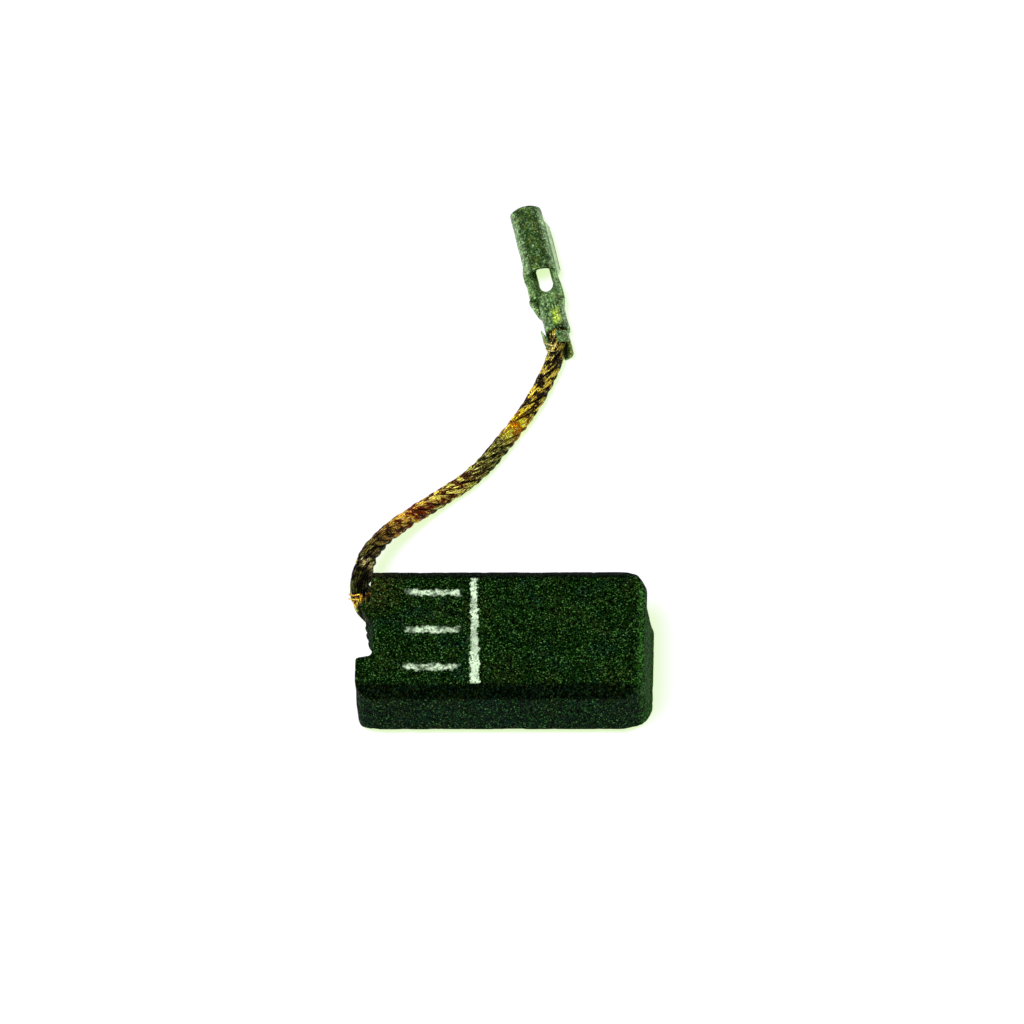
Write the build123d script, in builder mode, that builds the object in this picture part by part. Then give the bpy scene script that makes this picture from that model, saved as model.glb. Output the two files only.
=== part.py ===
from build123d import *

import os
from math import cos, degrees, pi, radians, sin, sqrt, tan

# A carbon brush for a small motor, in millimetres, +Z up, lying flat as it does on a table.
# The carbon block slides in its holder along X: the contact face, hollowed to the commutator's
# curve, is at +X and the back end, where the spring presses, is at -X. A copper rope is tamped
# into the back end, turns to +Y, comes down to the table and ends in a crimped sheet terminal.
# The origin is under the middle of the block.

# Carbon block
block_length = 16.4
block_width = 8.0
block_thickness = 5.0
long_edge_bevel = 0.55
contact_corner_radius = 1.7
commutator_radius = 14.0

# Back end of the block: a tall horn, the groove for the spring's end, and a lip that slopes up from
# it to the corner, which is set back to let the rope out
horn_height = 0.9
horn_corner_radius = 1.0
tip_radius = 0.12
shoulder_draft = 0.2
groove_start_y = -1.45
groove_width = 2.15
lip_width = 1.1
lip_low_height = 0.17
lip_high_height = 0.9
corner_set_back = 0.7

# Copper rope, and the slanting hole that it is tamped into
rope_diameter = 1.05
hole_diameter = 1.5
hole_depth = 5.57
hole_mouth_y = 2.318
hole_slant = 36.0
drill_point_angle = 118.0
mouth_clearance = 2.0
tamping_recess = 0.2

# Terminal, rolled from one piece of tinned sheet
sheet = 0.2
terminal_tail_x = 2.683
terminal_tail_y = 20.012
terminal_turn = 13.7
barrel_diameter = 1.86
barrel_length = 4.25
barrel_seam = 0.1
seam_angle = -48.0
lap_start_angle = -80.0
lap_end_angle = 8.0
lap_gap = 0.05
lap_set_back = 0.4
lap_corner_length = 0.9
trough_radius = 1.0
trough_length = 1.45
trough_wrap = 196.0
trough_corner_radius = 0.8
neck_length = 1.15
crimp_length = 2.75
crimp_overlap = 1.5
crimp_shift = 0.15
seam_groove = 0.24
slit_length = 0.2
slit_wrap = 150.0
claw_diameter = 1.48
claw_length = 0.74
claw_gap_start = 95.0
claw_gap = 62.0
tail_length = 0.6
tail_start = -75.0
tail_wrap = 100.0
window_width = 0.78
window_length = 1.72
window_shift = 0.2
window_start = 4.7

# Control points of the rope's route, from the deep end of the hole to inside the crimp
rope_points = [
    (-3.75, -0.36, 2.50),
    (-5.95, 1.19, 2.50),
    (-8.40, 2.97, 2.50),
    (-8.28, 5.90, 2.42),
    (-6.95, 8.10, 1.65),
    (-4.34, 10.65, 0.60),
    (-2.12, 12.30, 0.54),
    (-0.60, 14.30, 0.54),
    (0.90, 16.55, 0.54),
    (1.90, 18.65, 0.57),
    (2.58, 20.87, 0.725),
    (2.19, 22.67, 0.725),
    (1.80, 24.07, 0.725),
]
corner_share = 0.45

# Values that follow from the sizes above
back_x = -block_length / 2
contact_x = block_length / 2
side_y = block_width / 2
mid_z = block_thickness / 2
groove_x = back_x + horn_height
corner_x = back_x + corner_set_back
groove_end_y = groove_start_y + groove_width
lip_end_y = groove_end_y + lip_width
rope_radius = rope_diameter / 2
hole_radius = hole_diameter / 2
drill_point_length = hole_radius / tan(radians(drill_point_angle / 2))
barrel_radius = barrel_diameter / 2
claw_radius = claw_diameter / 2
crimp_radius = rope_radius + sheet
lap_start_radius = barrel_radius - sheet / 2
lap_end_radius = barrel_radius + lap_gap + sheet / 2

# Distances along the terminal from the end of its tail
claw_rear = tail_length
claw_front = claw_rear + claw_length
crimp_rear = claw_front + slit_length
crimp_front = crimp_rear + crimp_length
trough_front = crimp_front - crimp_overlap + trough_length
barrel_rear = trough_front + neck_length
barrel_front = barrel_rear + barrel_length
lap_front = barrel_front - lap_set_back

terminal_axis = Vector(0, 1, 0).rotate(Axis.Z, terminal_turn)
terminal_right = Vector(1, 0, 0).rotate(Axis.Z, terminal_turn)
terminal_tail = Vector(terminal_tail_x, terminal_tail_y, 0)
terminal_plan = Plane(origin=terminal_tail, x_dir=terminal_right, z_dir=(0, 0, 1))

hole_mouth = Vector(corner_x, hole_mouth_y, mid_z)
hole_out = Vector(-cos(radians(hole_slant)), sin(radians(hole_slant)), 0)
hole_axis = Axis(hole_mouth, hole_out)
hole_plane = Plane(origin=hole_mouth, x_dir=(0, 0, 1), z_dir=Vector(0, 0, 1).cross(hole_out))


def bend_radii(points):
    """Radius of the rope's arc at each inner point: as large as its two runs allow."""
    radii = []
    for before, here, after in zip(points, points[1:], points[2:]):
        run_in = Vector(*here) - Vector(*before)
        run_out = Vector(*after) - Vector(*here)
        half_turn = radians(run_in.get_angle(run_out)) / 2
        radii.append(corner_share * min(run_in.length, run_out.length) / tan(half_turn))
    return radii


def station(distance):
    """Plane across the terminal at a distance from its tail, facing back to the tail."""
    origin = terminal_tail + terminal_axis * distance
    return Plane(origin=origin, x_dir=terminal_right, z_dir=-terminal_axis)


def on_barrel(angle, radius):
    """Point of the barrel's section at an angle from the right and a distance from its axis."""
    return (radius * cos(radians(angle)), barrel_radius + radius * sin(radians(angle)))


def bent_sheet(outer_radius, start_angle, wrap):
    """Section of sheet bent to an arc that touches the table; angles run from the right."""
    bend_centre = Plane((0, outer_radius, 0))
    end_angle = start_angle + wrap
    middle = Edge.make_circle(outer_radius - sheet / 2, bend_centre, start_angle, end_angle)
    trace(middle, line_width=sheet)


os.makedirs("parts", exist_ok=True)

# Rope: one tube of straight runs and tangent arcs along its route
rope_radii = bend_radii(rope_points)
with BuildPart() as shunt_wire:
    with BuildLine():
        route = FilletPolyline(*rope_points, radius=rope_radii)
    with BuildSketch(Plane(origin=route @ 0, z_dir=route % 0)):
        Circle(rope_radius)
    sweep()

# Drilled hole in the back end, as a solid that reaches past the mouth to clear the rope's way
with BuildPart() as drilled_hole:
    with BuildSketch(hole_plane):
        with BuildLine():
            Polyline(
                (0, mouth_clearance),
                (hole_radius, mouth_clearance),
                (hole_radius, -hole_depth),
                (0, -hole_depth - drill_point_length),
                close=True,
            )
        make_face()
    revolve(axis=hole_axis)

# Carbon block: a bar with bevelled long edges, cut to its outline in plan
with BuildPart() as carbon_block:
    with BuildSketch(Plane.YZ.offset(back_x)) as bar:
        with Locations((0, mid_z)):
            Rectangle(block_width, block_thickness)
        chamfer(bar.vertices(), long_edge_bevel)
    extrude(amount=block_length)
    with BuildSketch() as outline:
        with BuildLine():
            Polyline(
                (back_x, -side_y),
                (contact_x, -side_y),
                (contact_x, side_y),
                (corner_x, side_y),
                (corner_x, lip_end_y),
                (groove_x - lip_high_height, lip_end_y),
                (groove_x - lip_low_height, groove_end_y),
                (groove_x, groove_end_y),
                (groove_x, groove_start_y),
                (back_x, groove_start_y - shoulder_draft),
                close=True,
            )
        make_face()
        fillet(outline.vertices().group_by(Axis.X)[-1], contact_corner_radius)
        fillet(outline.vertices().group_by(Axis.X)[0].sort_by(Axis.Y)[0], horn_corner_radius)
        fillet(outline.vertices().group_by(Axis.X)[0].sort_by(Axis.Y)[1:], tip_radius)
    extrude(amount=block_thickness, mode=Mode.INTERSECT)
    with BuildSketch(Plane.XZ):
        with Locations((contact_x + sqrt(commutator_radius**2 - mid_z**2), mid_z)):
            Circle(commutator_radius)
    extrude(amount=block_width, both=True, mode=Mode.SUBTRACT)
    add(drilled_hole.part, mode=Mode.SUBTRACT)

# Tamping: copper powder packed round the rope, a little below the back face
with BuildPart() as tamping_plug:
    add(drilled_hole.part)
    split(bisect_by=Plane.YZ.offset(corner_x + tamping_recess), keep=Keep.TOP)
    add(shunt_wire.part, mode=Mode.SUBTRACT)

# Outer edge of the barrel's roll: it leaves the barrel low on the right, covers the inner seam and
# stands a little off it, with its corner at the mouth cut back
with BuildPart() as seam_lap:
    with BuildSketch(station(lap_front)):
        points_on_lap = [
            on_barrel(lap_start_angle, lap_start_radius),
            on_barrel((lap_start_angle + lap_end_angle) / 2, (lap_start_radius + lap_end_radius) / 2),
            on_barrel(lap_end_angle, lap_end_radius),
        ]
        trace(Edge.make_spline(points_on_lap), line_width=sheet)
    extrude(amount=lap_front - barrel_rear)
    with BuildSketch(terminal_plan):
        with BuildLine():
            Polyline(
                (0, barrel_rear),
                (barrel_diameter, barrel_rear),
                (barrel_diameter, lap_front - lap_corner_length),
                (lap_end_radius + sheet / 2, lap_front - lap_corner_length),
                (barrel_radius - sheet, lap_front),
                (0, lap_front),
                close=True,
            )
        make_face()
    extrude(amount=barrel_diameter, mode=Mode.INTERSECT)

# Terminal: tail, claw, crimp, open trough with its window, neck and round barrel in one sheet
with BuildPart() as terminal:
    with BuildSketch(station(trough_front)):
        bent_sheet(trough_radius, 270 - trough_wrap / 2, trough_wrap)
    extrude(amount=trough_length)
    with BuildSketch(terminal_plan) as trough_outline:
        with Locations((0, trough_front)):
            Rectangle(2 * trough_radius, 2 * trough_length)
        rear_corners = trough_outline.vertices().group_by(Axis.Y)[0]
        fillet(rear_corners, trough_corner_radius)
    extrude(amount=2 * trough_radius, mode=Mode.INTERSECT)
    with BuildSketch(station(trough_front)):
        bent_sheet(trough_radius, 270 - trough_wrap / 2, trough_wrap)
    with BuildSketch(station(barrel_rear)):
        bent_sheet(barrel_radius, 270 - trough_wrap / 2, trough_wrap)
    loft()
    with BuildSketch(station(barrel_front)):
        seam_half = degrees(barrel_seam / barrel_radius) / 2
        bent_sheet(barrel_radius, seam_angle + seam_half, 360 - 2 * seam_half)
    extrude(amount=barrel_length)
    add(seam_lap.part)
    with BuildSketch(station(crimp_front)):
        with Locations((crimp_shift, crimp_radius)):
            Circle(crimp_radius)
        with Locations((crimp_shift, 2 * crimp_radius)):
            Rectangle(seam_groove, seam_groove, rotation=45, mode=Mode.SUBTRACT)
    extrude(amount=crimp_length)
    with BuildSketch(station(crimp_rear)):
        bent_sheet(claw_radius, 270 - slit_wrap / 2, slit_wrap)
    extrude(amount=slit_length)
    with BuildSketch(station(claw_front)):
        bent_sheet(claw_radius, claw_gap_start + claw_gap, 360 - claw_gap)
    extrude(amount=claw_length)
    with BuildSketch(station(claw_rear)):
        bent_sheet(claw_radius, tail_start, tail_wrap)
    extrude(amount=tail_length)
    with BuildSketch(terminal_plan):
        with Locations((window_shift, window_start + window_length / 2)):
            SlotOverall(window_length, window_width, rotation=90)
    extrude(amount=barrel_radius / 2, mode=Mode.SUBTRACT)
    add(shunt_wire.part, mode=Mode.SUBTRACT)

carbon_block.part.label = "carbon_block"
tamping_plug.part.label = "tamping_plug"
shunt_wire.part.label = "shunt_wire"
terminal.part.label = "terminal"

export_step(carbon_block.part, "parts/carbon_block.step")
export_step(tamping_plug.part, "parts/tamping_plug.step")
export_step(shunt_wire.part, "parts/shunt_wire.step")
export_step(terminal.part, "parts/terminal.step")

rope_section = pi * rope_radius**2
print("rope length", round(route.length, 2))
print("section times length", round(rope_section * route.length, 3))
print("rope volume", round(shunt_wire.part.volume, 3))
print("rope bend radii", [round(radius, 1) for radius in rope_radii])
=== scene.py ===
from math import cos, pi, radians, sin
from random import Random

import bmesh
import bpy
from bpy.props import (
    FloatProperty,
    FloatVectorProperty,
    IntProperty,
    PointerProperty,
)
from mathutils import Matrix, Vector, noise


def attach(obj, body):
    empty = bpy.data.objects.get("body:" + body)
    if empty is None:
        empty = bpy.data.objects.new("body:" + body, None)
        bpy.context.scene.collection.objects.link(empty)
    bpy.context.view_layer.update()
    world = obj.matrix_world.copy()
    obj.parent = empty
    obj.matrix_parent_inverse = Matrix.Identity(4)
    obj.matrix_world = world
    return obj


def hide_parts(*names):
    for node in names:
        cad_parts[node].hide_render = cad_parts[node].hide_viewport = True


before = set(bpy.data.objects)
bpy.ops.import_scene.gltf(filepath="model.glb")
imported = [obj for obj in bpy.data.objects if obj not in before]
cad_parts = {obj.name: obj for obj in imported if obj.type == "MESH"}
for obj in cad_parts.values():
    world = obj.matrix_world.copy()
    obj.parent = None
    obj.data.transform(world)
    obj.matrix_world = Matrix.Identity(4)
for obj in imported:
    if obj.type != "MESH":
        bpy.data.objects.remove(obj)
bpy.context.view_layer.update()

bl_info = {
    "name": "Carbon Brush",
    "version": (1, 0, 0),
    "blender": (4, 5, 0),
    "location": "View3D > Sidebar > Brush",
    "description": "Dresses the frame of a small motor's carbon brush with its worn surfaces",
    "category": "Add Mesh",
}

MM = 0.001
BODY = "root"

# The block, in millimetres: its long edges are bevelled
HALF_WIDTH = 4.0
HALF_THICKNESS = 2.5
LONG_BEVEL = 0.55

# The print on the block's top face, in millimetres: a line across it and three bars beside that
LINE_X = -1.56
LINE_LEAN = 0.035
BARS_X = -3.95
BARS_Y = (-2.3, 0.05, 2.4)

# The rope's route, from the deep end of its hole to inside the crimp, in metres
ROPE_ROUTE = [
    (-0.00375, -0.00036, 0.00250),
    (-0.00595, 0.00119, 0.00250),
    (-0.00834, 0.00292, 0.00250),
    (-0.00814, 0.00590, 0.00242),
    (-0.00688, 0.00810, 0.00165),
    (-0.00430, 0.01060, 0.00060),
    (-0.00207, 0.01225, 0.00054),
    (-0.00060, 0.01430, 0.00054),
    (0.00090, 0.01655, 0.00054),
    (0.00190, 0.01865, 0.00057),
    (0.00262, 0.02087, 0.000725),
    (0.00219, 0.02267, 0.000725),
    (0.00193, 0.02360, 0.000725),
]
ROPE_EXIT = Vector((-0.0075, 0.00232, 0.0025))

# How the rope's wires lie: the radius of a bundle's ring, the length in which a wire goes once
# round it, and the thickness of the bundles' and the rope's inner wires as multiples of a wire's
BUNDLE_RING = 0.112 * MM
WIRE_LAY = 2.9 * MM
BUNDLE_CORE = 1.9
ROPE_CORE = 4.8

# The rope is fuller near its exit: by how much, and from where on to where it is fullest
FRAY = 0.28
FRAY_STARTS = 5.0 * MM
FRAY_FULL = 1.2 * MM

# A wire is hidden up to this distance from the rope's middle, and a crest this far below its skin
HIDDEN_AT = 0.24 * MM
CREST_BELOW_SKIN = 0.07 * MM

# Stray wires in millimetres: the rope's colours there, as a share of its length, and the points
STRAY_WIRES = [
    (0.035, [(-8.25, 2.95, 3.06), (-8.55, 3.0, 3.02), (-8.78, 3.12, 2.86), (-8.88, 3.2, 2.7)]),
    (0.04, [(-8.2, 3.3, 3.1), (-8.5, 3.22, 3.08), (-8.76, 3.3, 2.94), (-8.86, 3.46, 2.8)]),
    (0.14, [(2.45, 20.35, 1.15), (2.0, 20.5, 1.2), (1.62, 20.68, 1.1), (1.72, 20.95, 1.0)]),
    (0.14, [(2.35, 20.1, 1.1), (2.05, 20.12, 1.15), (1.84, 20.22, 1.05), (1.8, 20.42, 0.95)]),
]

# The terminal's tail end on the table, in millimetres, and the way it points from there
TERMINAL_TAIL = Vector((2.683, 20.012, 0.0))
TERMINAL_TURN = radians(13.7)

# The middle of the dimple in the terminal's ear, as measured by along_terminal
DIMPLE = Vector((-0.8, 3.8, 1.05))

# The stage, in metres
TABLE_HALF_SIDE = 1.5
LAMP_SIZE = 0.20
LAMP_DISTANCE = 0.45
TOWARDS_LAMP = Vector((-0.24, -0.16, 1.0)).normalized()
WHITE = (1.0, 1.0, 1.0, 1.0)


def along_terminal(place):
    """A place's distances from the terminal's middle line, from its tail end and from the table."""
    return Matrix.Rotation(-TERMINAL_TURN, 3, "Z") @ (place - TERMINAL_TAIL)


def linear(red, green, blue):
    """A colour given in the display's 0 to 255, as the renderer counts light."""
    channels = []
    for value in (red, green, blue):
        share = value / 255
        if share <= 0.04045:
            channels.append(share / 12.92)
        else:
            channels.append(((share + 0.055) / 1.055) ** 2.4)
    return (*channels, 1.0)


def colour(title, description, red, green, blue):
    """A property for a colour that the user may change."""
    return FloatVectorProperty(
        name=title,
        description=description,
        default=linear(red, green, blue)[:3],
        subtype="COLOR",
        min=0.0,
        max=1.0,
    )


class StageSettings(bpy.types.PropertyGroup):
    """The table, the light and the camera."""

    azimuth: FloatProperty(
        name="Azimuth",
        description="How far the camera stands to the right of the brush's middle",
        default=radians(7.1),
        subtype="ANGLE",
    )
    elevation: FloatProperty(
        name="Elevation",
        description="How far the camera looks down",
        default=radians(61.6),
        subtype="ANGLE",
    )
    roll: FloatProperty(
        name="Roll",
        description="Turn of the camera about its own axis",
        default=radians(-6.4),
        subtype="ANGLE",
    )
    lens: FloatProperty(
        name="Focal length",
        description="Long, because the picture shows almost no perspective",
        default=300.0,
        unit="CAMERA",
    )
    distance: FloatProperty(
        name="Distance",
        description="From the camera to the point it looks at",
        default=0.485,
        unit="LENGTH",
    )
    target: FloatVectorProperty(
        name="Target",
        description="The point in the middle of the picture",
        default=(0.00021, 0.00887, 0.0025),
        subtype="XYZ",
        unit="LENGTH",
    )
    key_power: FloatProperty(
        name="Key lamp",
        description="Power of the large soft lamp high on the left",
        default=1.55,
        unit="POWER",
    )
    sky_strength: FloatProperty(
        name="Sky",
        description="Strength of the even light from all round",
        default=0.45,
        min=0.0,
    )


class BlockSettings(bpy.types.PropertyGroup):
    """The pressed carbon block and the print on its top face."""

    cell: FloatProperty(
        name="Cell",
        description="Side of the even faces that carry the chips and pits",
        default=0.085 * MM,
        unit="LENGTH",
    )
    chip: FloatProperty(
        name="Edge wear",
        description="How strongly the corners and edges are chipped and rubbed",
        default=1.0,
        min=0.0,
        max=2.0,
    )
    pit_depth: FloatProperty(
        name="Pit depth",
        description="Depth of the pits in the pressed faces",
        default=0.022 * MM,
        unit="LENGTH",
    )
    carbon: colour("Carbon", "The pressed faces", 6, 29, 2)
    # Painted reflection: the sides' lighter, bluer colour stands in for the white table reflected
    # in them
    carbon_side_reflection: colour("Carbon, sides", "The faces that slide in the holder", 5, 34, 14)
    # Painted shade: the dark colour given to the bevels
    edge: colour("Bevels", "The smooth dark bevels along the block", 3, 9, 3)
    ink: colour("Ink", "The print on the top face", 226, 252, 214)


class RopeSettings(bpy.types.PropertyGroup):
    """The copper rope, laid from bundles of fine wires."""

    diameter: FloatProperty(
        name="Diameter",
        description="Outer diameter of the whole rope",
        default=1.05 * MM,
        unit="LENGTH",
    )
    length: FloatProperty(
        name="Length",
        description="Length of the rope along its middle, with its ends in the block and the crimp",
        default=30.7 * MM,
        unit="LENGTH",
    )
    bundles: IntProperty(
        name="Bundles",
        description="Bundles of wires round the rope's core",
        default=7,
        min=3,
        max=8,
    )
    wires: IntProperty(
        name="Wires",
        description="Wires that show round each bundle",
        default=7,
        min=5,
        max=12,
    )
    wire_diameter: FloatProperty(
        name="Wire diameter",
        description="Diameter of one fine wire",
        default=0.1 * MM,
        unit="LENGTH",
    )
    lay_length: FloatProperty(
        name="Lay length",
        description="Length in which a bundle goes once round the rope",
        default=4.3 * MM,
        unit="LENGTH",
    )
    # Painted glints: small highlights on the wires
    glint: colour("Glints", "Small rubbed places on the wires", 255, 246, 176)
    # Painted shade between the wires
    groove_shade: colour("Grooves", "The dirt between the wires", 22, 13, 4)


class TerminalSettings(bpy.types.PropertyGroup):
    """The crimped sheet terminal."""

    cell: FloatProperty(
        name="Cell",
        description="Side of the even faces that carry the dents",
        default=0.036 * MM,
        unit="LENGTH",
    )
    dent_depth: FloatProperty(
        name="Dent depth",
        description="Depth of the crimping tool's dents",
        default=0.05 * MM,
        unit="LENGTH",
    )
    tin: colour("Tin", "The tinned sheet", 176, 224, 146)
    tarnish: colour("Tarnish", "The dull film on the sheet", 34, 76, 10)


class Finish:
    """One material's nodes, with its patterns measured in millimetres."""

    def __init__(self, name):
        self.material = bpy.data.materials.new(name)
        self.material.use_nodes = True
        self.nodes = self.material.node_tree.nodes
        self.links = self.material.node_tree.links
        self.shader = self.nodes["Principled BSDF"]
        where = self.nodes.new("ShaderNodeTexCoord")
        enlarge = self.nodes.new("ShaderNodeMapping")
        enlarge.inputs["Scale"].default_value = (1 / MM, 1 / MM, 1 / MM)
        self.links.new(where.outputs["Object"], enlarge.inputs["Vector"])
        self.place = enlarge.outputs["Vector"]

    def feed(self, socket, value):
        """Gives a socket a fixed value, or links it to another node's output."""
        if isinstance(value, bpy.types.NodeSocket):
            self.links.new(value, socket)
        else:
            socket.default_value = value

    def set(self, **values):
        """Gives the shader's sockets their values, with underscores for the spaces in names."""
        for name, value in values.items():
            self.feed(self.shader.inputs[name.replace("_", " ")], value)

    def attribute(self, name):
        node = self.nodes.new("ShaderNodeAttribute")
        node.attribute_name = name
        return node.outputs["Fac"]

    def axis(self, letter, place=None):
        node = self.nodes.new("ShaderNodeSeparateXYZ")
        self.feed(node.inputs["Vector"], place or self.place)
        return node.outputs[letter]

    def moved(self, offset, stretch=(1, 1, 1), turn=(0, 0, 0)):
        """The place on the piece, moved, turned or stretched for one pattern."""
        node = self.nodes.new("ShaderNodeMapping")
        self.feed(node.inputs["Vector"], self.place)
        node.inputs["Location"].default_value = offset
        node.inputs["Rotation"].default_value = turn
        node.inputs["Scale"].default_value = stretch
        return node.outputs["Vector"]

    def grain(self, size, detail=3.0, place=None, rough=0.55):
        """Cloudy pattern whose patches are about a size in millimetres."""
        node = self.nodes.new("ShaderNodeTexNoise")
        self.feed(node.inputs["Vector"], place or self.place)
        node.inputs["Scale"].default_value = 1 / size
        node.inputs["Detail"].default_value = detail
        node.inputs["Roughness"].default_value = rough
        return node.outputs["Fac"]

    def cells(self, size):
        """Distance to the nearest of many scattered points."""
        node = self.nodes.new("ShaderNodeTexVoronoi")
        self.feed(node.inputs["Vector"], self.place)
        node.inputs["Scale"].default_value = 1 / size
        return node.outputs["Distance"]

    def grains(self, size, place=None):
        """Three chance values for each grain of about a size in millimetres."""
        node = self.nodes.new("ShaderNodeTexVoronoi")
        self.feed(node.inputs["Vector"], place or self.place)
        node.inputs["Scale"].default_value = 1 / size
        parts = self.nodes.new("ShaderNodeSeparateColor")
        self.feed(parts.inputs["Color"], node.outputs["Color"])
        return parts.outputs["Red"], parts.outputs["Green"], parts.outputs["Blue"]

    def span(self, value, low, high, start=0.0, end=1.0):
        """Turns the part of a value from low to high into a clamped share."""
        node = self.nodes.new("ShaderNodeMapRange")
        self.feed(node.inputs["Value"], value)
        self.feed(node.inputs["From Min"], low)
        self.feed(node.inputs["From Max"], high)
        self.feed(node.inputs["To Min"], start)
        self.feed(node.inputs["To Max"], end)
        return node.outputs["Result"]

    def math(self, kind, first, second=0.0):
        node = self.nodes.new("ShaderNodeMath")
        node.operation = kind
        self.feed(node.inputs[0], first)
        self.feed(node.inputs[1], second)
        return node.outputs["Value"]

    def plus(self, first, second):
        return self.math("ADD", first, second)

    def times(self, first, *others):
        for other in others:
            first = self.math("MULTIPLY", first, other)
        return first

    def off(self, value, middle=0.0):
        """How far a value is from a middle one, on either side of it."""
        return self.math("ABSOLUTE", self.math("SUBTRACT", value, middle))

    def reach(self, place, spot):
        """The distance between a place and a fixed spot."""
        node = self.nodes.new("ShaderNodeVectorMath")
        node.operation = "DISTANCE"
        self.feed(node.inputs[0], place)
        node.inputs[1].default_value = spot
        return node.outputs["Value"]

    def blend(self, share, first, second):
        node = self.nodes.new("ShaderNodeMix")
        node.data_type = "RGBA"
        self.feed(node.inputs["Factor"], share)
        self.feed(node.inputs["A"], first)
        self.feed(node.inputs["B"], second)
        return node.outputs["Result"]

    def coat(self, body, shade, first, *others):
        """A colour with a shade laid over it, where all the given shares are high."""
        return self.blend(self.times(first, *others), body, shade)

    def tinted(self, first, share):
        """A colour made darker or lighter by a share."""
        node = self.nodes.new("ShaderNodeVectorMath")
        node.operation = "SCALE"
        self.feed(node.inputs[0], first)
        self.feed(node.inputs["Scale"], share)
        return node.outputs["Vector"]

    def ramp(self, value, stops):
        """A colour for each value, from stops given as a position and a colour."""
        node = self.nodes.new("ShaderNodeValToRGB")
        self.feed(node.inputs["Fac"], value)
        marks = node.color_ramp.elements
        while len(marks) < len(stops):
            marks.new(0.5)
        for mark, (position, shade) in zip(marks, stops):
            mark.position = position
            mark.color = shade
        return node.outputs["Color"]

    def bumps(self, height, depth, under=None):
        """Relief of a depth in millimetres."""
        node = self.nodes.new("ShaderNodeBump")
        node.inputs["Distance"].default_value = depth * MM
        self.feed(node.inputs["Height"], height)
        if under is not None:
            self.feed(node.inputs["Normal"], under)
        return node.outputs["Normal"]


def full(shade):
    """A setting's colour with the fourth channel that sockets want."""
    return (*shade, 1.0)


def add_object(name, data):
    made = bpy.data.objects.new(name, data)
    bpy.context.scene.collection.objects.link(made)
    return made


def add_mesh(name, shape, material):
    """Turns a bmesh into a smooth-shaded object at the origin."""
    data = bpy.data.meshes.new(name)
    shape.to_mesh(data)
    shape.free()
    data.polygons.foreach_set("use_smooth", [True] * len(data.polygons))
    data.materials.append(material)
    return add_object(name, data)


def mesh_of(holder):
    """The finished mesh of an object that is only needed to make it."""
    bpy.context.view_layer.update()
    graph = bpy.context.evaluated_depsgraph_get()
    made = bpy.data.meshes.new_from_object(holder.evaluated_get(graph))
    source = holder.data
    kind = bpy.data.curves if holder.type == "CURVE" else bpy.data.meshes
    bpy.data.objects.remove(holder)
    kind.remove(source)
    return made


def even_shape(node_name, cell):
    """A frame node's shape rebuilt from even faces, as a bmesh in millimetres."""
    shape = bmesh.new()
    shape.from_mesh(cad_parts[node_name].data)
    bmesh.ops.remove_doubles(shape, verts=shape.verts, dist=1e-7)
    bmesh.ops.scale(shape, vec=(1 / MM, 1 / MM, 1 / MM), verts=shape.verts)
    data = bpy.data.meshes.new("even faces")
    shape.to_mesh(data)
    shape.free()
    holder = add_object("even faces", data)
    even = holder.modifiers.new("even faces", "REMESH")
    even.mode = "VOXEL"
    even.voxel_size = cell / MM
    made = mesh_of(holder)
    shape = bmesh.new()
    shape.from_mesh(made)
    bpy.data.meshes.remove(made)
    return shape


def soften(shape, rounds):
    """Evens a shape out, which rounds its edges a little more with each round."""
    for _ in range(rounds):
        bmesh.ops.smooth_vert(
            shape, verts=shape.verts, factor=0.5, use_axis_x=True, use_axis_y=True, use_axis_z=True
        )


def back_to_metres(shape):
    bmesh.ops.scale(shape, vec=(MM, MM, MM), verts=shape.verts)


def camera_axes(azimuth, elevation, roll):
    """The camera's right, up and backward directions."""
    right = Vector((cos(azimuth), sin(azimuth), 0))
    back = Vector((sin(azimuth) * cos(elevation), -cos(azimuth) * cos(elevation), sin(elevation)))
    up = back.cross(right)
    turned_right = cos(roll) * right + sin(roll) * up
    return turned_right, back.cross(turned_right), back


def smooth_line(points, steps):
    """The points of the smooth curve that the given control points shape."""
    curve = bpy.data.curves.new("route", "CURVE")
    curve.dimensions = "3D"
    curve.resolution_u = steps
    spline = curve.splines.new("NURBS")
    spline.points.add(len(points) - 1)
    for place, point in zip(points, spline.points):
        point.co = (*place, 1.0)
    spline.order_u = 3
    spline.use_endpoint_u = True
    line = mesh_of(add_object("route", curve))
    places = [vertex.co.copy() for vertex in line.vertices]
    bpy.data.meshes.remove(line)
    return places


def across(line):
    """At each point of a line: its distance from the start and two directions across it."""
    distance = 0.0
    tangent = (line[1] - line[0]).normalized()
    side = Vector((0, 0, 1)).cross(tangent).normalized()
    found = []
    for index, place in enumerate(line):
        before = line[max(index - 1, 0)]
        after = line[min(index + 1, len(line) - 1)]
        ahead = (after - before).normalized()
        side = (tangent.rotation_difference(ahead) @ side).normalized()
        tangent = ahead
        if index:
            distance += (place - before).length
        found.append((distance, side.copy(), tangent.cross(side)))
    return found


def share(value, low, high):
    """A smooth step from 0 to 1 as the value goes from low to high."""
    part = min(max((value - low) / (high - low), 0.0), 1.0)
    return part * part * (3 - 2 * part)


def lip_break(place):
    """How far the broken lower part of the lip stands back, in millimetres."""
    on_lip = share(place.y, 0.4, 0.75) * share(place.y, 1.95, 1.83) * share(place.z, 4.8, 3.0)
    ragged = 0.38 + 0.2 * noise.noise(place * 1.7)
    return ragged * max(-7.3 - place.x, 0.0) * on_lip


def corner_rub(place):
    """How far the contact end's lower corners are rubbed back, in millimetres."""
    reach = min(place.x - 6.4, abs(place.y) - 2.0)
    depth = 0.2 if place.y > 0 else 0.05
    return depth * share(reach, 0.2, 1.2) * share(place.z, 3.8, 1.4)


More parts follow.
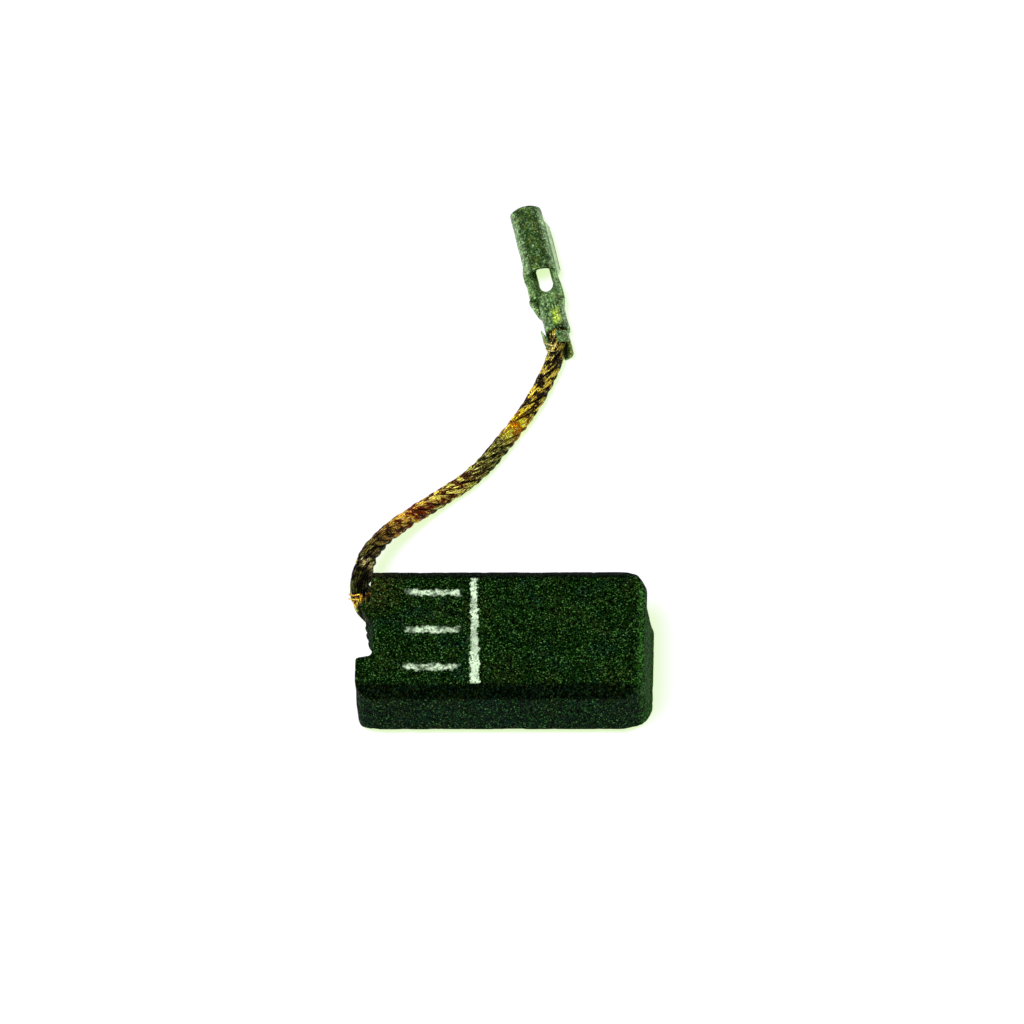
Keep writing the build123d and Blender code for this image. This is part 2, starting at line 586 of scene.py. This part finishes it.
def block_shift(place):
    """How far the block's two ends are worn out of true at a place, in millimetres."""
    # The contact end leans out at the bottom and is rubbed back at the top
    low = 0.15 * share(place.x, 6.9, 7.9) * share(place.z, 3.6, 1.8)
    rubbed = 0.16 * share(place.x, 7.3, 8.2) * share(place.z, 4.2, 5.0)
    # The back end leans out at the bottom
    splay = 0.1 * share(place.x, -7.4, -8.0) * share(place.z, 3.8, 1.8)
    corner = corner_rub(place)
    across = low - splay - rubbed - corner + lip_break(place)
    inside = -corner if place.y > 0 else corner
    return Vector((across, inside, 0))


def edge_wear(place, chip):
    """How much of the softened shape shows at a place, where corners are knocked and rubbed."""
    rub = 0.5 + 1.1 * noise.noise(place * 0.9 + Vector((3, 1, 4)))
    knock = max(noise.noise(place * 1.9 + Vector((9, 2, 6))) - 0.12, 0.0) * 3.2
    wear = chip * (max(rub, 0.12) + knock)
    wear *= 1 - 0.75 * share(place.x, 7.0, 7.6) * share(place.z, 3.4, 2.4)
    return min(wear, 2.4)


def pitting(place):
    """Depth of the pits and the grit between them, as a share of a pit's full depth."""
    pit = max(noise.noise(place * 3.1) - 0.18, 0.0) * 2.2
    grit = noise.noise(place * 8.5 + Vector((5, 5, 5))) * 0.5
    return pit + 0.35 * max(grit, 0.0)


def terminal_shift(local, inner_wall):
    """How far the sheet is bent out of true at a place given by along_terminal, in millimetres."""
    moved = Vector((0, 0, 0))
    # The crimp's front edge stands back
    from_axis = Vector((local.x - 0.15, local.z - 0.725)).length
    if from_axis < 0.77 and local.z > 0.22:
        moved.y -= 0.4 * share(local.y, 2.9, 4.1) * share(local.y, 4.6, 4.35)
    # The ear is squeezed short, bulges out and has a thick wall
    on_ear = share(local.x, -0.6, -0.72) * share(local.z, 0.25, 0.6)
    moved.y += 0.5 * on_ear * share(local.y, 4.1, 2.9)
    moved.x -= 0.09 * on_ear * share(local.y, 3.9, 3.4)
    if on_ear and inner_wall:
        moved.x += 0.2 * on_ear * share(local.y, 4.7, 4.2)
    # The sheet swells where the barrel begins
    swollen = share(local.y, 4.7, 5.2) * share(local.y, 6.3, 5.6) * share(local.z, 1.4, 1.0)
    moved.x -= 0.11 * swollen * share(local.x, -0.6, -0.85)
    return moved


def wires_curve(name, diameter):
    """An empty curve whose lines become round wires."""
    curve = bpy.data.curves.new(name, "CURVE")
    curve.dimensions = "3D"
    curve.bevel_depth = diameter / 2
    curve.bevel_resolution = 1
    return curve


def add_wire(curve, places, thickness=1.0):
    """Adds a wire through the places, of a thickness in multiples of the curve's own."""
    spline = curve.splines.new("POLY")
    spline.points.add(len(places) - 1)
    for place, point in zip(places, spline.points):
        point.co = (*place, 1.0)
        point.radius = thickness


class RopeLay:
    """How the bundles and their wires turn round the rope's middle line."""

    def __init__(self, settings, line):
        """Measures the line and finds where it leaves the block."""
        self.settings = settings
        self.line = line
        self.stations = across(line)
        nearest = min(range(len(line)), key=lambda index: (line[index] - ROPE_EXIT).length)
        self.exit_at = self.stations[nearest][0]
        self.end_at = self.stations[-1][0]
        self.radius = settings.diameter / 2
        self.bundle_radius = self.radius - BUNDLE_RING - settings.wire_diameter / 2
        self.marks = {"along": [], "crest": [], "tone": [], "flank": []}

    def offset(self, station, bundle, wire, seed):
        """Where a wire lies from the middle line."""
        distance, side, lift = station
        core = bundle == self.settings.bundles
        inner = core or wire == self.settings.wires
        loose = noise.noise(Vector((distance / MM * 0.5, seed, 0)))
        slack = noise.noise(Vector((distance / MM * 1.5, seed, wire * 3.7 + 9)))
        frayed = 1 + FRAY * share(abs(distance - self.exit_at), FRAY_STARTS, FRAY_FULL)
        turns = distance / self.settings.lay_length + bundle / self.settings.bundles
        big = 2 * pi * turns + 0.5 * loose
        radius = 0.0 if core else self.bundle_radius * frayed * (1 + 0.05 * loose)
        small = 2 * pi * wire / self.settings.wires - 2 * pi * distance / WIRE_LAY
        ring = 0.0 if inner else BUNDLE_RING * frayed * (1 + 0.3 * slack)
        across_side = cos(big) * radius + cos(small) * ring
        across_lift = sin(big) * radius + sin(small) * ring
        return side * across_side + lift * across_lift

    def mark(self, distance, offset, wire, seed, own, inner):
        """Notes a point's share of the free length, how far out it is, its tone and its side."""
        patch = noise.noise(Vector((distance / MM * 2.1, seed * 3, 4)))
        patch += 0.5 * noise.noise(Vector((distance / MM * 3.5, seed, wire * 2.3)))
        out = (offset.length - HIDDEN_AT) / (self.radius - CREST_BELOW_SKIN - HIDDEN_AT)
        visible = (distance - self.exit_at) / (self.end_at - self.exit_at)
        self.marks["along"].append(min(max(visible, 0.0), 1.0))
        self.marks["crest"].append(0.0 if inner else min(max(out, 0.0), 1.0))
        self.marks["tone"].append(min(max(0.5 + patch + own, 0.0), 1.0))
        self.marks["flank"].append(share(offset.z / self.radius, 0.75, 0.2))

    def wires(self):
        """All the rope's wires as a curve."""
        chance = Random(11)
        curve = wires_curve("wires", self.settings.wire_diameter)
        for bundle in range(self.settings.bundles + 1):
            core = bundle == self.settings.bundles
            seed = chance.uniform(0, 50)
            for wire in range(1 if core else self.settings.wires + 1):
                own = chance.uniform(-0.35, 0.35)
                inner = core or wire == self.settings.wires
                places = []
                for place, station in zip(self.line, self.stations):
                    offset = self.offset(station, bundle, wire, seed)
                    places.append(place + offset)
                    self.mark(station[0], offset, wire, seed, own, inner)
                add_wire(curve, places, ROPE_CORE if core else BUNDLE_CORE if inner else 1.0)
        return curve


def carbon_finish(settings):
    """Pressed carbon: mottled, speckled, with painted shade on the bevels, a painted reflection on
    the sides, a contact face lighter as painted sheen, and print.
    """
    look = Finish("pressed_carbon")
    x, y, z = look.axis("X"), look.axis("Y"), look.axis("Z")

    # The pressed faces, with brown and bluish clouds; the sides below the top face take a lighter,
    # bluer colour as a painted reflection of the white table
    side = look.span(z, 4.1, 4.4, 1.0, 0.0)
    body = look.blend(side, full(settings.carbon), full(settings.carbon_side_reflection))
    brown = look.span(look.grain(1.7, 2.0, look.moved((3, 7, 1))), 0.5, 0.66, 0.0, 0.4)
    body = look.coat(body, linear(28, 36, 6), brown)
    blue = look.span(look.grain(1.3, 2.0, look.moved((11, 2, 5))), 0.54, 0.72, 0.0, 0.35)
    body = look.coat(body, linear(6, 28, 34), blue)
    cloud = look.span(look.grain(0.45, 4.0, look.moved((5, 5, 9))), 0.3, 0.7, 0.6, 1.4)
    body = look.tinted(body, cloud)

    # The bevels along the block, painted dark as shade, less so towards the contact end
    corner = look.plus(look.off(y), look.off(z, HALF_THICKNESS))
    bevel_at = HALF_WIDTH + HALF_THICKNESS - LONG_BEVEL
    frayed = look.span(look.grain(0.35, 3.0), 0.3, 0.7, -0.1, 0.1)
    bevel_shade = look.span(look.plus(corner, frayed), bevel_at - 0.26, bevel_at - 0.05)
    bevel_shade = look.times(bevel_shade, look.span(x, 6.4, 7.9, 0.95, 0.35))
    body = look.coat(body, full(settings.edge), bevel_shade)

    # The contact face, polished in streaks, its sheen painted on as lighter colour
    contact = look.span(look.plus(x, frayed), 7.55, 7.85)
    streaks = look.grain(0.12, 3.0, look.moved((0, 0, 0), (1, 1, 0.06)))
    polished_sheen = look.ramp(streaks, [(0.3, linear(20, 60, 14)), (0.7, linear(58, 108, 42))])
    body = look.coat(body, polished_sheen, contact, 0.85)

    # Copper dust round the rope's exit
    near_exit = look.span(look.reach(look.place, (-7.3, 2.7, 4.0)), 2.3, 0.9)
    dust = look.span(look.grain(0.16, 3.0, look.moved((1, 9, 4))), 0.42, 0.6)
    body = look.coat(body, linear(58, 46, 14), near_exit, dust, 0.75)

    # The grain of the powder and its pale specks
    upright = (1, 1, 0.5)
    fine = look.grain(0.08, 2.0, look.moved((2, 2, 2), upright), 0.7)
    level, warm, cold = look.grains(0.075, look.moved((0, 0, 0), upright))
    body = look.coat(body, linear(34, 40, 8), look.span(warm, 0.7, 1.0, 0.0, 0.45))
    body = look.coat(body, linear(8, 34, 34), look.span(cold, 0.75, 1.0, 0.0, 0.45))
    body = look.tinted(body, look.span(level, 0.1, 0.9, 0.0, 1.8))
    body = look.tinted(body, look.span(fine, 0.38, 0.62, 0.1, 1.7))
    pale = look.span(look.grain(0.085, 1.0, look.moved((8, 1, 3), upright)), 0.56, 0.67, 0.0, 0.85)
    # The pale specks are kept off the bevels' painted shade
    off_bevel_shade = look.math("SUBTRACT", 1.0, look.times(bevel_shade, 0.9))
    body = look.coat(body, linear(94, 148, 74), pale, off_bevel_shade, look.span(level, 0.35, 0.95))

    body = look.coat(body, full(settings.ink), ink_mask(look, x, y, z))
    relief = look.bumps(look.cells(0.16), 0.012)
    look.set(
        Base_Color=body,
        Roughness=look.span(look.grain(0.3), 0.3, 0.7, 0.5, 0.8),
        Specular_IOR_Level=0.01,
        Specular_Tint=(0.35, 1.0, 0.3, 1.0),
        Normal=look.bumps(fine, 0.02, relief),
    )
    return look.material


def ink_mask(look, x, y, z):
    """Blotchy print on the top face: one line across and three plain bars beside it."""
    ragged = look.span(look.grain(0.3, 5.0, look.moved((4, 4, 0)), 0.7), 0.3, 0.7, -0.15, 0.15)
    off_line = look.off(look.plus(x, look.times(y, LINE_LEAN)), LINE_X)
    half = look.span(y, -3.3, 3.3, 0.23, 0.11)
    line = look.span(look.plus(off_line, ragged), look.plus(half, 0.06), half)
    line = look.times(line, look.span(look.off(y), 3.36, 3.24))
    bars = 0.0
    for middle in BARS_Y:
        bar = look.span(look.plus(look.off(y, middle), ragged), 0.22, 0.10)
        bars = look.math("MAXIMUM", bars, bar)
    bars = look.times(bars, look.span(look.plus(look.off(x, BARS_X), ragged), 1.6, 1.4))
    worn = look.span(look.grain(0.55, 3.0, look.moved((6, 0, 0))), 0.38, 0.56, 0.15, 0.9)
    thin = look.span(look.grain(0.9, 2.0, look.moved((2, 0, 7))), 0.35, 0.6, 0.55, 1.0)
    mask = look.math("MAXIMUM", look.times(line, thin), look.times(bars, worn))
    flaked = look.span(look.grain(0.11, 3.0, look.moved((0, 6, 0))), 0.36, 0.52, 0.2, 1.0)
    return look.times(mask, flaked, look.span(z, 4.9, 4.95))


def rope_finish(settings):
    """Copper wires: painted highlights on their crests, tarnished brown and green, with painted
    shade between them.
    """
    look = Finish("copper_wire")
    along = look.attribute("along")
    depth = look.attribute("crest")
    tone = look.attribute("tone")
    flank = look.attribute("flank")
    # The colours along the rope where no painted highlight falls
    dull = look.ramp(along, [
        (0.0, linear(26, 28, 8)),
        (0.030, linear(20, 20, 5)),
        (0.036, linear(80, 44, 10)),
        (0.042, linear(60, 30, 8)),
        (0.050, linear(10, 6, 2)),
        (0.115, linear(12, 8, 3)),
        (0.16, linear(22, 15, 6)),
        (0.23, linear(34, 20, 6)),
        (0.31, linear(122, 30, 4)),
        (0.44, linear(92, 38, 4)),
        (0.555, linear(36, 34, 8)),
        (0.605, linear(30, 24, 8)),
        (0.65, linear(200, 130, 6)),
        (0.70, linear(40, 20, 8)),
        (0.87, linear(26, 17, 7)),
    ])
    # The colours that the painted highlights take along the rope
    bright = look.ramp(along, [
        (0.0, linear(88, 92, 34)),
        (0.030, linear(60, 58, 18)),
        (0.036, linear(255, 214, 90)),
        (0.042, linear(255, 176, 60)),
        (0.050, linear(34, 20, 8)),
        (0.115, linear(50, 36, 14)),
        (0.132, linear(255, 232, 160)),
        (0.15, linear(96, 84, 30)),
        (0.22, linear(150, 110, 40)),
        (0.31, linear(255, 196, 60)),
        (0.44, linear(255, 242, 110)),
        (0.535, linear(130, 130, 44)),
        (0.600, linear(130, 120, 40)),
        (0.65, linear(255, 248, 44)),
        (0.71, linear(255, 214, 60)),
        (0.87, linear(214, 190, 76)),
    ])
    # Painted highlights: the crests take the bright colours in patches, the rest the dull ones
    patch = look.grain(0.42, 3.0, look.moved((3, 1, 2)), 0.7)
    lit = look.plus(look.times(tone, 0.35), look.times(patch, 0.9))
    lit = look.times(look.span(lit, 0.57, 0.70), look.span(depth, 0.2, 0.8))
    body = look.blend(lit, dull, bright)
    # Green tarnish on the flanks, painted glints on the lit wires and painted shade between the
    # wires
    green = look.span(look.grain(0.5, 3.0, look.moved((9, 4, 7))), 0.42, 0.62, 0.0, 0.8)
    greens = look.blend(lit, linear(30, 44, 8), linear(150, 176, 60))
    body = look.coat(body, greens, green, look.span(flank, 0.2, 0.9, 0.25, 1.0))
    glints = look.span(look.grain(0.12, 2.0, look.moved((4, 8, 1)), 0.7), 0.56, 0.64, 0.0, 0.7)
    free = look.span(along, 0.12, 0.26)
    body = look.coat(body, full(settings.glint), glints, free, look.span(lit, 0.0, 0.8, 0.25, 1.0))
    body = look.tinted(body, look.span(look.grain(0.06, 2.0, None, 0.7), 0.38, 0.62, 0.12, 1.8))
    # Painted shade on the inner wires, darkest nearest the rope's middle
    body = look.coat(body, full(settings.groove_shade), look.span(depth, 0.55, 0.05, 0.0, 0.9))
    look.set(
        Base_Color=body,
        Metallic=0.7,
        Specular_IOR_Level=0.1,
        Roughness=look.span(look.grain(0.25), 0.3, 0.7, 0.34, 0.6),
        Normal=look.bumps(look.grain(0.05, 2.0), 0.008),
    )
    return look.material


def tin_finish(settings):
    """Tinned sheet: shiny flanks, a dull film of tarnish made darker on its crown as painted shade,
    stains and scratches along it.
    """
    look = Finish("tinned_sheet")
    turn_back = (0, 0, -TERMINAL_TURN)
    local = look.moved(along_terminal(Vector((0, 0, 0))), (1, 1, 1), turn_back)
    side, station, z = look.axis("X", local), look.axis("Y", local), look.axis("Z", local)

    # The dull film in clouds of tarnish, made thicker on the barrel's crown as painted shade
    on_barrel = look.span(station, 4.9, 5.3)
    crown_shade = look.times(look.span(look.off(side, -0.02), 0.78, 0.5), on_barrel)
    crown_shade = look.times(crown_shade, look.span(z, 0.9, 1.2))
    cloud = look.grain(0.3, 4.0, look.moved((1, 5, 2)), 0.75)
    cloud = look.plus(cloud, look.span(station, 4.6, 2.6, 0.0, 0.05))
    film = look.span(look.plus(cloud, look.times(crown_shade, 0.16)), 0.4, 0.64)
    body = look.blend(film, full(settings.tin), full(settings.tarnish))
    yellow = look.span(look.grain(0.5, 2.0, look.moved((7, 3, 3))), 0.5, 0.66, 0.0, 0.55)
    body = look.coat(body, linear(96, 112, 14), yellow)

    # The crimp's seam lighter as a painted highlight and its mouth darker as painted shade, a
    # painted highlight on the ear, and the stained tail
    seam_highlight = look.times(look.span(look.off(side, 0.24), 0.3, 0.16), look.span(station, 1.7, 2.0))
    body = look.coat(body, linear(220, 252, 96), seam_highlight, look.span(station, 3.0, 2.6), 0.85)
    mouth_shade = look.times(look.span(look.off(side, 0.25), 0.45, 0.2), look.span(station, 1.95, 1.65))
    body = look.coat(body, linear(12, 34, 6), mouth_shade, look.span(station, 1.35, 1.5), 0.85)
    ear_highlight = look.times(look.span(side, -0.55, -0.66), look.span(station, 5.1, 4.9))
    body = look.coat(body, linear(170, 214, 134), ear_highlight, look.span(z, 0.5, 0.8), 0.6)
    tail = look.times(look.span(station, 1.0, 0.5), look.span(side, 0.2, 0.5))
    body = look.coat(body, linear(120, 130, 18), tail, 0.7)

    # Scratches, grain and specks, painted shade in the dimple in the ear and a painted reflection
    # along the barrel's lap
    scratch = look.grain(0.06, 3.0, look.moved((0, 0, 0), (1.0, 0.12, 1.0), turn_back), 0.7)
    body = look.tinted(body, look.span(scratch, 0.3, 0.7, 0.7, 1.3))
    level, some, _ = look.grains(0.085)
    body = look.tinted(body, look.span(level, 0.1, 0.9, 0.35, 1.6))
    specks = look.span(look.grain(0.09, 2.0, look.moved((2, 8, 6))), 0.52, 0.66, 0.0, 0.85)
    body = look.coat(body, linear(14, 40, 8), specks)
    bright = look.span(look.grain(0.1, 2.0, look.moved((5, 1, 1))), 0.56, 0.68, 0.0, 0.8)
    body = look.coat(body, linear(214, 250, 180), bright, some)
    # Painted shade in the dimple
    body = look.coat(body, linear(10, 46, 6), look.span(look.reach(local, DIMPLE), 0.3, 0.16), 0.85)
    # Painted reflection along the barrel's lap
    lap_reflection = look.times(look.span(side, 0.9, 0.98), on_barrel)
    body = look.coat(body, linear(226, 252, 206), lap_reflection, look.span(side, 1.14, 1.11), 0.75)
    look.set(
        Base_Color=body,
        Metallic=look.span(film, 0.0, 1.0, 0.9, 0.65),
        Roughness=look.span(look.grain(0.2), 0.3, 0.7, 0.3, 0.5),
        Normal=look.bumps(scratch, 0.01, look.bumps(look.grain(0.3, 3.0), 0.02)),
    )
    return look.material


def powder_finish():
    """Copper powder, packed hard."""
    look = Finish("copper_powder")
    lump = look.grain(0.12, 4.0, None, 0.7)
    body = look.ramp(lump, [
        (0.3, linear(22, 14, 6)),
        (0.5, linear(70, 44, 18)),
        (0.7, linear(140, 96, 40)),
    ])
    look.set(
        Base_Color=body,
        Metallic=0.35,
        Roughness=look.span(look.grain(0.3), 0.3, 0.7, 0.6, 0.85),
        Normal=look.bumps(look.cells(0.1), 0.03, look.bumps(lump, 0.04)),
    )
    return look.material


def table_finish():
    """White to the camera and in reflections; its lit part keeps a faint warm green shadow."""
    material = bpy.data.materials.new("table")
    material.use_nodes = True
    nodes = material.node_tree.nodes
    links = material.node_tree.links
    nodes.remove(nodes["Principled BSDF"])
    end = nodes["Material Output"]
    plain = nodes.new("ShaderNodeBsdfDiffuse")
    plain.inputs["Color"].default_value = (0.78, 0.80, 0.76, 1.0)
    shaded = nodes.new("ShaderNodeBsdfDiffuse")
    shaded.inputs["Color"].default_value = (0.40, 0.13, 0.70, 1.0)
    white = nodes.new("ShaderNodeEmission")
    white.inputs["Color"].default_value = (0.70, 0.92, 0.46, 1.0)
    shown = nodes.new("ShaderNodeAddShader")
    links.new(shaded.outputs["BSDF"], shown.inputs[0])
    links.new(white.outputs["Emission"], shown.inputs[1])
    rays = nodes.new("ShaderNodeLightPath")
    seen = rays.outputs["Is Camera Ray"]
    for ray in ("Is Glossy Ray", "Is Transmission Ray"):
        either = nodes.new("ShaderNodeMath")
        either.operation = "MAXIMUM"
        links.new(seen, either.inputs[0])
        links.new(rays.outputs[ray], either.inputs[1])
        seen = either.outputs["Value"]
    choice = nodes.new("ShaderNodeMixShader")
    links.new(seen, choice.inputs["Fac"])
    links.new(plain.outputs["BSDF"], choice.inputs[1])
    links.new(shown.outputs["Shader"], choice.inputs[2])
    links.new(choice.outputs["Shader"], end.inputs["Surface"])
    return material


def wires_piece(name, curve, marks, material):
    """A piece of closed wires from a curve, with values marked on them point by point."""
    data = mesh_of(add_object(name, curve))
    for mark, values in marks.items():
        sides = len(data.vertices) // len(values)
        if sides * len(values) != len(data.vertices):
            raise RuntimeError("the wires' rings have uneven numbers of points")
        attribute = data.attributes.new(mark, "FLOAT", "POINT")
        attribute.data.foreach_set("value", [v for v in values for _ in range(sides)])
    shape = bmesh.new()
    shape.from_mesh(data)
    open_ends = [edge for edge in shape.edges if edge.is_boundary]
    bmesh.ops.holes_fill(shape, edges=open_ends, sides=0)
    shape.to_mesh(data)
    shape.free()
    data.polygons.foreach_set("use_smooth", [True] * len(data.polygons))
    data.materials.clear()
    data.materials.append(material)
    return add_object(name, data)


class BRUSH_OT_stage(bpy.types.Operator):
    """Adds the table, the lamps, the sky and the camera"""

    bl_idname = "brush.stage"
    bl_label = "Stage"

    def execute(self, context):
        settings = context.scene.brush_stage
        floor = bmesh.new()
        bmesh.ops.create_grid(floor, x_segments=1, y_segments=1, size=TABLE_HALF_SIDE)
        table = add_mesh("table", floor, table_finish())

        world = bpy.data.worlds.new("sky")
        world.use_nodes = True
        sky = world.node_tree.nodes["Background"]
        rays = world.node_tree.nodes.new("ShaderNodeLightPath")
        strength = world.node_tree.nodes.new("ShaderNodeMapRange")
        strength.inputs["To Min"].default_value = settings.sky_strength
        world.node_tree.links.new(rays.outputs["Is Camera Ray"], strength.inputs["Value"])
        world.node_tree.links.new(strength.outputs["Result"], sky.inputs["Strength"])
        sky.inputs["Color"].default_value = WHITE
        context.scene.world = world

        lamp = bpy.data.lights.new("key", "AREA")
        lamp.shape = "DISK"
        lamp.size = LAMP_SIZE
        lamp.energy = settings.key_power
        key = add_object("key", lamp)
        key.matrix_world = TOWARDS_LAMP.to_track_quat("Z", "Y").to_matrix().to_4x4()
        key.matrix_world.translation = Vector(settings.target) + TOWARDS_LAMP * LAMP_DISTANCE

        lens = bpy.data.cameras.new("camera")
        lens.lens = settings.lens
        lens.sensor_width = 36.0
        lens.clip_end = 10.0
        camera = add_object("camera", lens)
        right, up, back = camera_axes(settings.azimuth, settings.elevation, settings.roll)
        pose = Matrix((right, up, back)).transposed().to_4x4()
        pose.translation = Vector(settings.target) + back * settings.distance
        camera.matrix_world = pose
        context.scene.camera = camera
        context.scene.view_settings.view_transform = "Standard"
        return {"FINISHED"}


class BRUSH_OT_block(bpy.types.Operator):
    """Adds the carbon block with its chipped edges, pits and print"""

    bl_idname = "brush.block"
    bl_label = "Carbon block"

    def execute(self, context):
        settings = context.scene.brush_block
        shape = even_shape("carbon_block", settings.cell)
        soften(shape, 2)
        crisp = [vert.co.copy() for vert in shape.verts]
        soften(shape, 9)
        worn = [vert.co.copy() for vert in shape.verts]
        shape.normal_update()
        depth = settings.pit_depth / MM
        for vert, sharp, soft in zip(shape.verts, crisp, worn):
            place = sharp + (soft - sharp) * edge_wear(sharp, settings.chip)
            inward = depth * pitting(sharp)
            vert.co = place - vert.normal * inward + block_shift(place)
        back_to_metres(shape)
        block = add_mesh("block", shape, carbon_finish(settings))
        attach(block, BODY)
        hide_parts("carbon_block")
        return {"FINISHED"}


class BRUSH_OT_plug(bpy.types.Operator):
    """Gives the tamped copper powder its finish"""

    bl_idname = "brush.plug"
    bl_label = "Tamped powder"

    def execute(self, context):
        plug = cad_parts["tamping_plug"]
        plug.material_slots[0].material = powder_finish()
        return {"FINISHED"}


class BRUSH_OT_terminal(bpy.types.Operator):
    """Adds the crimped terminal with its dents"""

    bl_idname = "brush.terminal"
    bl_label = "Terminal"

    def execute(self, context):
        settings = context.scene.brush_terminal
        shape = even_shape("terminal", settings.cell)
        soften(shape, 2)
        shape.normal_update()
        to_frame = Matrix.Rotation(TERMINAL_TURN, 3, "Z")
        right = to_frame @ Vector((1, 0, 0))
        depth = settings.dent_depth / MM
        for vert in shape.verts:
            local = along_terminal(vert.co)
            moved = terminal_shift(local, vert.normal.dot(right) > 0.2)
            on_crimp = share(local.y, 1.4, 1.7) * share(local.y, 3.4, 3.0)
            dent = on_crimp * max(noise.noise(Vector((local.x * 1.5, local.y * 3.0, 7))), 0.0)
            dent += 2.2 * share((local + moved - DIMPLE).length, 0.28, 0.08)
            wavy = noise.noise(local * 1.6) * 0.022
            vert.co += to_frame @ moved - vert.normal * (wavy + depth * dent)
        back_to_metres(shape)
        terminal = add_mesh("crimped_terminal", shape, tin_finish(settings))
        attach(terminal, BODY)
        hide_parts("terminal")
        return {"FINISHED"}


class BRUSH_OT_rope(bpy.types.Operator):
    """Adds the copper rope, wire by wire"""

    bl_idname = "brush.rope"
    bl_label = "Copper rope"

    def execute(self, context):
        settings = context.scene.brush_rope
        line = smooth_line(ROPE_ROUTE, steps=20)
        rope_lay = RopeLay(settings, line)
        wires = rope_lay.wires()
        rope = wires_piece("copper_rope", wires, rope_lay.marks, rope_finish(settings))
        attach(rope, BODY)
        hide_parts("shunt_wire")
        return {"FINISHED"}


class BRUSH_OT_stray(bpy.types.Operator):
    """Adds the few wires that stick out of the rope at its two ends"""

    bl_idname = "brush.stray"
    bl_label = "Stray wires"

    def execute(self, context):
        settings = context.scene.brush_rope
        curve = wires_curve("stray wires", settings.wire_diameter)
        along = []
        for spot, points in STRAY_WIRES:
            line = smooth_line([Vector(point) * MM for point in points], steps=8)
            add_wire(curve, line)
            along.extend([spot] * len(line))
        even = [1.0] * len(along)
        marks = {"along": along, "crest": even, "tone": even, "flank": [0.0] * len(along)}
        stray = wires_piece("stray_wires", curve, marks, bpy.data.materials["copper_wire"])
        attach(stray, BODY)
        return {"FINISHED"}


class BRUSH_PT_pieces(bpy.types.Panel):
    """Lists the pieces of the brush"""

    bl_idname = "BRUSH_PT_pieces"
    bl_label = "Carbon brush"
    bl_space_type = "VIEW_3D"
    bl_region_type = "UI"
    bl_category = "Brush"

    def draw(self, context):
        for step in PIECES:
            self.layout.operator(step.bl_idname)
        for name in SETTINGS:
            box = self.layout.box()
            group = getattr(context.scene, name)
            for key in group.__annotations__:
                box.prop(group, key)


SETTINGS = {
    "brush_stage": StageSettings,
    "brush_block": BlockSettings,
    "brush_rope": RopeSettings,
    "brush_terminal": TerminalSettings,
}
PIECES = (
    BRUSH_OT_stage,
    BRUSH_OT_block,
    BRUSH_OT_plug,
    BRUSH_OT_terminal,
    BRUSH_OT_rope,
    BRUSH_OT_stray,
)
CLASSES = (*SETTINGS.values(), *PIECES, BRUSH_PT_pieces)


def register():
    """Makes the operators, the panel and the settings known."""
    for each in CLASSES:
        bpy.utils.register_class(each)
    for name, group in SETTINGS.items():
        setattr(bpy.types.Scene, name, PointerProperty(type=group))


def unregister():
    """Takes back what register did."""
    for name in SETTINGS:
        delattr(bpy.types.Scene, name)
    for each in reversed(CLASSES):
        bpy.utils.unregister_class(each)


def main():
    """Builds the whole brush."""
    register()
    bpy.ops.brush.stage()
    bpy.ops.brush.block()
    bpy.ops.brush.plug()
    bpy.ops.brush.terminal()
    bpy.ops.brush.rope()
    bpy.ops.brush.stray()


if __name__ == "__main__":
    main()
